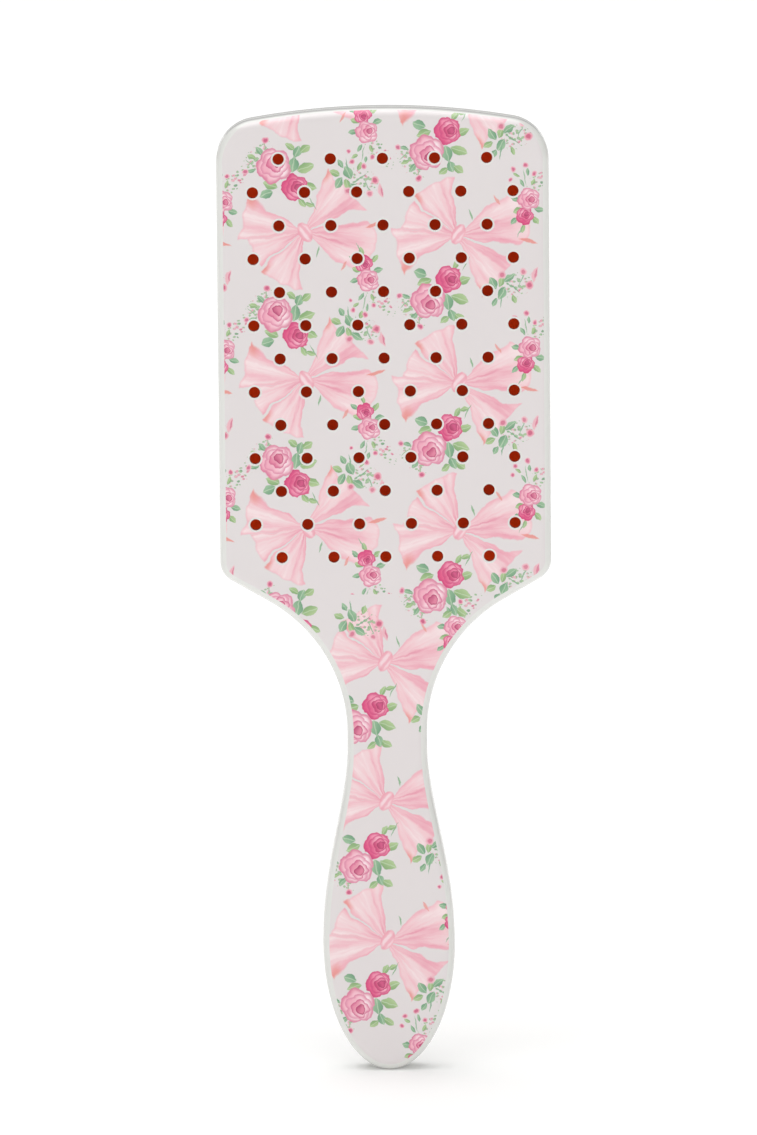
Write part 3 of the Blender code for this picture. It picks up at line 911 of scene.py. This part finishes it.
def spray(sheet, colour, p, x, y, turn, half_length, half_width):
    """A mist of tiny leaves and petals, thinning out towards its edge."""
    q = sheet.place(p, x, y, turn, half_length, half_width)
    speck = sheet.node("ShaderNodeTexVoronoi", voronoi_dimensions="2D")
    sheet.feed(speck.inputs["Vector"], sheet.moved(p, (1.0, 1.45, 1.0), "MULTIPLY"))
    speck.inputs["Scale"].default_value = 0.72
    size = sheet.fit(sheet.length(q), 1.0, 0.25, 0.0, 0.42)
    seen = sheet.fit(sheet.sub(size, speck.outputs["Distance"]), 0.0, 0.10, 0.0, 0.9)
    kind = sheet.noise(p, 0.62, 0.0)
    fill = sheet.ramp(kind, [(0.25, "6c9c72"), (0.42, "9fc08e"), (0.54, "84ad86"),
                             (0.60, "e6aab8"), (0.75, "d2708d")], smooth=False)
    return sheet.mix(seen, colour, fill)


def rose_cluster(sheet, colour, p):
    """A pale rose and a hot pink one among leaves; p is measured between the two."""
    colour = spray(sheet, colour, p, -7.6, -5.4, 128.0, 7.6, 3.6)
    colour = leaves(sheet, colour, p, (
        (-5.3, 4.6, 160.0, 3.9, 2.9, TEAL),
        (-4.2, 2.2, 200.0, 4.3, 2.7, GREEN),
        (6.4, 2.6, 20.0, 4.0, 2.4, GREEN),
        (4.4, 7.0, 60.0, 3.2, 1.7, GREEN),
        (6.3, 7.7, 20.0, 2.8, 1.4, GREEN),
        (2.1, -3.2, 100.0, 4.8, 3.2, TEAL),
        (5.3, -2.4, -20.0, 5.2, 3.0, GREEN),
        (3.2, -6.7, -70.0, 3.6, 2.4, TEAL),
        (5.2, -7.5, -35.0, 3.4, 2.2, GREEN),
        (1.2, -8.0, 215.0, 3.2, 1.9, GREEN),
        (-7.0, -7.0, 235.0, 3.0, 1.5, TEAL),
        (-9.0, -5.4, 200.0, 2.8, 1.3, GREEN),
        (-9.3, -1.6, 165.0, 2.8, 1.2, TEAL),
    ))
    colour = stroke(sheet, colour, p, -9.4, -3.6, 40.0, 4.2, 0.45, "95b78f", 0.6)
    colour = stroke(sheet, colour, p, -5.6, -8.6, 85.0, 3.6, 0.45, "95b78f", 0.6)
    colour = bud(sheet, colour, p, -5.4, -9.9, 0.95, "e79cb0", "c9557c")
    colour = bud(sheet, colour, p, -10.9, -1.4, 0.85, "e9abbc", "cd6788")
    colour = rose(sheet, colour, p, 2.3, 2.9, 20.0, 7.4, HOT_ROSE, 0.7)
    return rose(sheet, colour, p, -3.3, -2.9, -30.0, 9.6, PALE_ROSE, 2.1)


def teal_sprig(sheet, colour, p):
    """Blue-green leaves with nodding buds on thin stalks."""
    colour = spray(sheet, colour, p, 1.6, 1.4, 25.0, 6.4, 4.4)
    colour = leaves(sheet, colour, p, (
        (-4.8, 2.0, 120.0, 3.8, 2.3, TEAL),
        (-2.4, -0.8, 245.0, 4.0, 2.6, TEAL),
        (-5.9, -0.7, 205.0, 3.2, 2.0, GREEN),
        (-2.6, 2.4, 75.0, 3.2, 1.8, GREEN),
        (-0.4, 3.4, 35.0, 4.0, 2.1, TEAL),
        (-4.4, -3.2, 235.0, 2.8, 1.6, TEAL),
        (0.8, -2.4, 290.0, 2.8, 1.4, GREEN),
    ))
    colour = stroke(sheet, colour, p, 0.6, 0.8, -35.0, 6.0, 0.45, "7aa984", 0.5)
    colour = stroke(sheet, colour, p, 2.9, 3.0, 65.0, 5.6, 0.45, "88b08c", 0.5)
    colour = stroke(sheet, colour, p, -2.6, -2.9, 80.0, 4.6, 0.5, "7aa984", 0.4)
    colour = bud(sheet, colour, p, -2.4, 4.2, 1.15, "eab2be", "d5768f")
    colour = bud(sheet, colour, p, 4.9, 1.4, 1.2, "e8a2b2", "cd5d7e")
    colour = bud(sheet, colour, p, 3.4, 5.0, 1.05, "ebb9c3", "d88196")
    colour = stroke(sheet, colour, p, 6.3, 4.2, 75.0, 4.8, 1.9, "eaacb8", 0.5)
    return stroke(sheet, colour, p, 6.7, 4.4, 75.0, 3.4, 0.7, "d67992", 0.5)


def garland(sheet, colour, p):
    """Two small roses one above the other, with sprays of little leaves and buds."""
    colour = spray(sheet, colour, p, 3.8, 7.2, 48.0, 7.8, 3.2)
    colour = leaves(sheet, colour, p, (
        (-3.2, 1.6, 170.0, 2.7, 1.6, TEAL),
        (-2.6, -1.4, 200.0, 2.9, 1.7, GREEN),
        (3.2, -1.2, -15.0, 3.0, 1.8, TEAL),
        (2.3, -4.2, -50.0, 2.8, 1.6, GREEN),
        (-3.6, -4.3, 220.0, 2.6, 1.4, TEAL),
        (-1.2, -6.3, 250.0, 2.8, 1.3, GREEN),
        (1.6, 6.2, 70.0, 2.4, 1.1, GREEN),
        (-1.4, 6.0, 120.0, 2.6, 1.1, TEAL),
        (-2.9, 8.2, 150.0, 2.2, 0.9, GREEN),
        (0.2, 9.0, 95.0, 2.2, 0.9, TEAL),
    ))
    colour = stroke(sheet, colour, p, -0.6, 7.4, 100.0, 5.2, 0.4, "8cb28c", 0.5)
    colour = stroke(sheet, colour, p, -2.0, -7.2, 60.0, 4.0, 0.4, "8cb28c", 0.5)
    for x, y, radius in ((-3.6, 9.6, 0.8), (1.9, 8.4, 0.75), (-0.4, 10.9, 0.85), (-4.4, 6.9, 0.65)):
        colour = bud(sheet, colour, p, x, y, radius, "e8a4b4", "cd6285")
    colour = rose(sheet, colour, p, -0.7, -3.0, 70.0, 4.9, HOT_ROSE, 1.6)
    return rose(sheet, colour, p, 0.4, 1.6, 10.0, 6.2, PALE_ROSE, 0.4)


# (painter, centre across, centre up, height where the handle's own column takes over,
# slip across and up in the mirrored columns, height of the handle's last repeat and how far
# across the motif moves there)
MOTIFS = [
    (bow, 0.0, 0.0, 129.0, 0.0, 0.0, 16.5, 90.0),
    (ribbon_marks, RIBBON_MARKS_X, 0.0, 129.0, 0.0, 0.0, 16.5, 90.0),
    (teal_sprig, 14.5, -15.0, 116.0, 0.0, 0.0, 0.0, 0.0),
    (garland, 19.0, 8.0, 131.0, -2.2, -3.8, 22.0, -10.5),
    (rose_cluster, -4.6, -14.8, 115.0, 0.0, 0.0, 0.0, 0.0),
]


def printed_colour(sheet, place, base):
    """The whole print: every motif on its own repeat, slightly wobbled, over a base."""
    warp = sheet.noise(place, 0.55, 2.0, 0.6, "Color")
    warp = sheet.scaled(sheet.moved(warp, (0.5, 0.5, 0.5), "SUBTRACT"), 0.9)
    x, y = sheet.split(sheet.moved(place, warp), "xz")
    colour = base
    for painter, centre_x, centre_y, *places in MOTIFS:
        p = cell(sheet, x, y, centre_x, centre_y, *places)
        colour = painter(sheet, colour, p)
    return colour


# ---------------------------------------- materials

def gloss(sheet, colour, roughness, normal=None, coat=0.0, translucent=None, share=0.0):
    """The material's surface: glossy, and letting light through if asked."""
    body = sheet.node("ShaderNodeBsdfPrincipled")
    sheet.feed(body.inputs["Base Color"], colour)
    sheet.feed(body.inputs["Roughness"], roughness)
    sheet.feed(body.inputs["Normal"], normal)
    body.inputs["Coat Weight"].default_value = coat
    body.inputs["Coat Roughness"].default_value = 0.06
    surface = body.outputs[0]
    if translucent:
        through = sheet.node("ShaderNodeBsdfTranslucent")
        sheet.feed(through.inputs["Color"], linear(translucent))
        mixed = sheet.node("ShaderNodeMixShader")
        mixed.inputs[0].default_value = share
        sheet.feed(mixed.inputs[1], surface)
        sheet.feed(mixed.inputs[2], through.outputs[0])
        surface = mixed.outputs[0]
    return sheet.show(surface)


def bumped(sheet, height, strength, distance):
    """Normal bent by a height pattern."""
    made = sheet.node("ShaderNodeBump")
    made.inputs["Strength"].default_value = strength
    made.inputs["Distance"].default_value = distance * MM
    sheet.feed(made.inputs["Height"], height)
    return made.outputs[0]


def millimetres(sheet):
    """Place on the object in millimetres."""
    return sheet.scaled(sheet.node("ShaderNodeTexCoord").outputs["Object"], 1 / MM)


def printed_shell():
    """Glossy white plastic printed on its flat back; rims and vent mouths stay unprinted."""
    sheet = Sheet(bpy.data.materials.new("printed_shell"))
    place = millimetres(sheet)
    paper = sheet.mix(sheet.noise(place, 0.02, 1.0), PAPER_DEEP, PAPER_LIGHT)
    colour = printed_colour(sheet, place, paper)
    plain = sheet.mix(sheet.noise(place, 0.02, 1.0), WHITE_DEEP, WHITE_LIGHT)
    printed = sheet.fit(sheet.attribute("trim"), -0.05, 0.05)
    colour = sheet.mix(printed, plain, colour)
    roughness = sheet.fit(sheet.noise(place, 0.08, 1.0), 0.3, 0.7, 0.24, 0.265)
    return gloss(sheet, colour, roughness, None, 0.6)


def white_shell():
    """Plain glossy white plastic with a faint moulding cloud and ripple."""
    sheet = Sheet(bpy.data.materials.new("white_shell"))
    place = millimetres(sheet)
    colour = sheet.mix(sheet.noise(place, 0.02, 1.0), WHITE_DEEP, WHITE_LIGHT)
    ripple = sheet.noise(place, 0.03, 0.0)
    roughness = sheet.fit(sheet.noise(place, 0.08, 1.0), 0.3, 0.7, 0.23, 0.265)
    return gloss(sheet, colour, roughness, bumped(sheet, ripple, 0.03, 0.4), 0.4)


def pad_rubber():
    """Satin coral-red rubber with a fine grain; light passes through it."""
    sheet = Sheet(bpy.data.materials.new("pad_rubber"))
    place = millimetres(sheet)
    cloud = sheet.noise(place, 0.05, 3.0)
    colour = sheet.mix(cloud, "c84d3a", "d66044")
    speck = sheet.noise(place, 3.5, 2.0)
    colour = sheet.mix(sheet.fit(speck, 0.55, 0.75, 0.0, 0.25), colour, "e0705c")
    grain = sheet.noise(place, 5.0, 2.0)
    roughness = sheet.fit(speck, 0.3, 0.7, 0.42, 0.55)
    normal = bumped(sheet, grain, 0.12, 0.05)
    return gloss(sheet, colour, roughness, normal, 0.0, "ff8e56", 0.5)


def ring_plastic():
    """Matte off-white plastic with a sandy grain."""
    sheet = Sheet(bpy.data.materials.new("ring_plastic"))
    place = millimetres(sheet)
    cloud = sheet.noise(place, 0.08, 3.0)
    colour = sheet.mix(cloud, "d4d1cc", "e0deda")
    grain = sheet.noise(place, 4.0, 3.0)
    roughness = sheet.fit(grain, 0.3, 0.7, 0.5, 0.65)
    return gloss(sheet, colour, roughness, bumped(sheet, grain, 0.15, 0.05))


def pin_nylon():
    """Pink nylon, deeper at the root and paler towards its ball tip."""
    sheet = Sheet(bpy.data.materials.new("pin_nylon"))
    place = millimetres(sheet)
    root = sheet.sub(sheet.part(place, "y"), BACK_Y / MM)
    rise = sheet.fit(root, PAD_CROWN_DEPTH, PIN_TIP_DEPTH)
    colour = sheet.mix(rise, "e58a9d", "f4b3c0")
    cloud = sheet.noise(place, 0.5, 2.0)
    colour = sheet.mix(sheet.fit(cloud, 0.4, 0.7, 0.0, 0.3), colour, "f9cdd4")
    roughness = sheet.fit(cloud, 0.3, 0.7, 0.29, 0.38)
    grain = sheet.noise(place, 2.0, 2.0)
    return gloss(sheet, colour, roughness, bumped(sheet, grain, 0.05, 0.03), 0.0, "f7b7bf", 0.25)


# ---------------------------------------- the pieces

def add_pieces():
    """Every visible piece; the shells and pin strips ride on their CAD bodies."""
    printed = printed_shell()
    white = white_shell()
    rubber = pad_rubber()
    nylon = pin_nylon()
    back = add_piece("printed_back", back_shell_mesh(), printed, "body",
                     ["back_shell"])
    front = add_piece("white_front", front_shell_mesh(), white, "body",
                      ["front_shell"])
    flat_shading(back)
    flat_shading(front)
    pad = add_piece("rubber_pad", pad_mesh(), rubber, None, ["cushion"])
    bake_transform(pad)
    for name, x, heights in strip_pins():
        strip = add_piece(name.replace("pin_strip", "pins"), strip_mesh(name, x, heights), nylon,
                          name, [name])
        flat_shading(strip)
    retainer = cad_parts["cushion_retainer"]
    retainer.data.materials.clear()
    retainer.data.materials.append(ring_plastic())


# ---------------------------------------- stage, light and camera

def add_floor():
    """Pale studio floor, wide enough to fill the picture."""
    mesh = bpy.data.meshes.new("floor")
    bm = bmesh.new()
    bmesh.ops.create_grid(bm, x_segments=FLOOR_SQUARES, y_segments=FLOOR_SQUARES,
                          size=FLOOR_HALF_SIZE)
    bm.to_mesh(mesh)
    bm.free()
    sheet = Sheet(bpy.data.materials.new("studio_floor"))
    place = sheet.node("ShaderNodeTexCoord").outputs["Object"]
    colour = sheet.mix(sheet.noise(place, 3.0, 2.0), "fafaf9", "fcfcfb")
    body = sheet.node("ShaderNodeBsdfPrincipled")
    sheet.feed(body.inputs["Base Color"], colour)
    body.inputs["Roughness"].default_value = 0.9
    body.inputs["Emission Color"].default_value = (1.0, 1.0, 1.0, 1.0)
    body.inputs["Emission Strength"].default_value = FLOOR_GLOW
    floor = add_piece("floor", mesh, sheet.show(body.outputs[0]))


def add_light(name, heading, spread, strength):
    """A soft even light from afar: the way it shines, how wide it looks and its strength."""
    lamp = bpy.data.lights.new(name, "SUN")
    lamp.energy = strength
    lamp.angle = math.radians(spread)
    holder = add_object(name, lamp)
    holder.rotation_euler = Vector(heading).to_track_quat("-Z", "Y").to_euler()


def add_world():
    """White surroundings; glossy rims mirror a bright softbox overhead and dimmer walls."""
    sheet = Sheet(bpy.data.worlds.new("studio"))
    place = sheet.node("ShaderNodeTexCoord")
    near = sheet.node("ShaderNodeVectorMath", operation="DOT_PRODUCT")
    sheet.feed(near.inputs[0], place.outputs["Generated"])
    sheet.feed(near.inputs[1], SOFTBOX_HEADING)
    mirrored = sheet.fit(near.outputs["Value"], *SOFTBOX_EDGE, WALL_LIGHT, SOFTBOX_LIGHT)
    ray = sheet.node("ShaderNodeLightPath")
    light = sheet.choose(ray.outputs["Is Glossy Ray"], WORLD_LIGHT, mirrored)
    light = sheet.choose(ray.outputs["Is Camera Ray"], light, 1.0)
    back = sheet.node("ShaderNodeBackground")
    sheet.feed(back.inputs["Color"], (1.0, 1.0, 1.0, 1.0))
    sheet.feed(back.inputs["Strength"], light)
    bpy.context.scene.world = sheet.show(back.outputs[0], "ShaderNodeOutputWorld")


def add_camera():
    """Camera facing the printed back from slightly above, looking a little down."""
    lens = bpy.data.cameras.new("photo_view")
    lens.sensor_fit = "VERTICAL"
    lens.sensor_height = 36.0
    lens.lens = CAMERA_LENS
    lens.clip_end = 50.0
    camera = add_object("photo_view", lens)
    tilt = math.radians(CAMERA_ELEVATION)
    aim = Vector((CAMERA_AIM_X * MM, BACK_Y, CAMERA_AIM_Z * MM))
    away = Vector((0.0, -math.cos(tilt), math.sin(tilt))) * CAMERA_DISTANCE
    camera.location = aim + away
    turn = (-away).to_track_quat("-Z", "Y").to_matrix()
    roll = Matrix.Rotation(math.radians(CAMERA_ROLL), 3, "Z")
    camera.rotation_euler = (turn @ roll).to_euler()
    bpy.context.scene.camera = camera


add_pieces()
add_floor()
add_world()
add_light("overhead", OVERHEAD_HEADING, OVERHEAD_SPREAD, OVERHEAD_LIGHT)
add_light("key", KEY_HEADING, KEY_SPREAD, KEY_LIGHT)
add_camera()
bpy.context.scene.view_settings.view_transform = "Standard"
